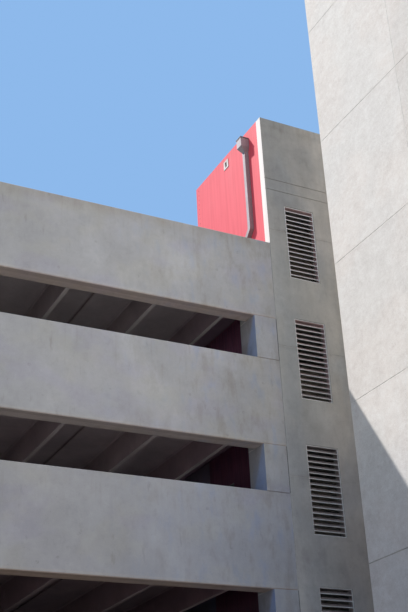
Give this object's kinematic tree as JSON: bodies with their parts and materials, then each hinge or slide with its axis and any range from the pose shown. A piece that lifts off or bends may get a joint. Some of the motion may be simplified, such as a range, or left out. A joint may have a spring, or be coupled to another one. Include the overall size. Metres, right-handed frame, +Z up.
{
  "type": "multi storey car park",
  "caption": "Open-sided multi storey car park in precast concrete, with banded fronts on piers, double-tee decks, a louvred stair core with a red wall, and a taller lift tower.",
  "frame": {"origin": "middle of the footprint's bounding box, on the ground", "axes": "+X to the right along the front, +Y from the front into the building, +Z up"},
  "size_m": [39.085, 26.661, 21.35],
  "materials": {
    "facade_concrete": "cast concrete, weathered",
    "deck_concrete": "cast concrete, sooty",
    "core_concrete": "cast concrete, weathered",
    "red_wall": "painted concrete",
    "tower_concrete": "pale cast concrete",
    "louvre_aluminium": "mill finish, dull",
    "galvanised_steel": "galvanised sheet"
  },
  "bodies": {
    "root": {"core_far_wall": "core_concrete", "core_floors": "core_concrete", "core_front_left_panel": "core_concrete", "core_front_lintels": "core_concrete", "core_front_right_panel": "core_concrete", "core_louvres": "louvre_aluminium", "core_rear_wall": "core_concrete", "core_roof": "core_concrete", "core_side_lintels": "red_wall", "core_side_wall": "red_wall", "deck_1": "deck_concrete", "deck_2": "deck_concrete", "deck_3": "deck_concrete", "deck_4": "deck_concrete", "downpipe": "galvanised_steel", "end_spandrels_1": "facade_concrete", "end_spandrels_2": "facade_concrete", "end_spandrels_3": "facade_concrete", "end_spandrels_4": "facade_concrete", "front_pier_1": "facade_concrete", "front_pier_2": "facade_concrete", "front_pier_3": "facade_concrete", "front_pier_4": "facade_concrete", "front_spandrels_1": "facade_concrete", "front_spandrels_2": "facade_concrete", "front_spandrels_3": "facade_concrete", "front_spandrels_4": "facade_concrete", "link_parapets": "tower_concrete", "link_slabs": "tower_concrete", "rainwater_head": "galvanised_steel", "rear_pier_1": "facade_concrete", "rear_pier_2": "facade_concrete", "rear_pier_3": "facade_concrete", "rear_pier_4": "facade_concrete", "rear_spandrels_1": "facade_concrete", "rear_spandrels_2": "facade_concrete", "rear_spandrels_3": "facade_concrete", "rear_spandrels_4": "facade_concrete", "roof_scupper": "galvanised_steel", "tower_floors": "tower_concrete", "tower_front_wall": "tower_concrete", "tower_left_wall": "tower_concrete", "tower_rear_lintels": "tower_concrete", "tower_rear_wall": "tower_concrete", "tower_right_wall": "tower_concrete", "tower_roof": "tower_concrete"}
  },
  "joints": []
}
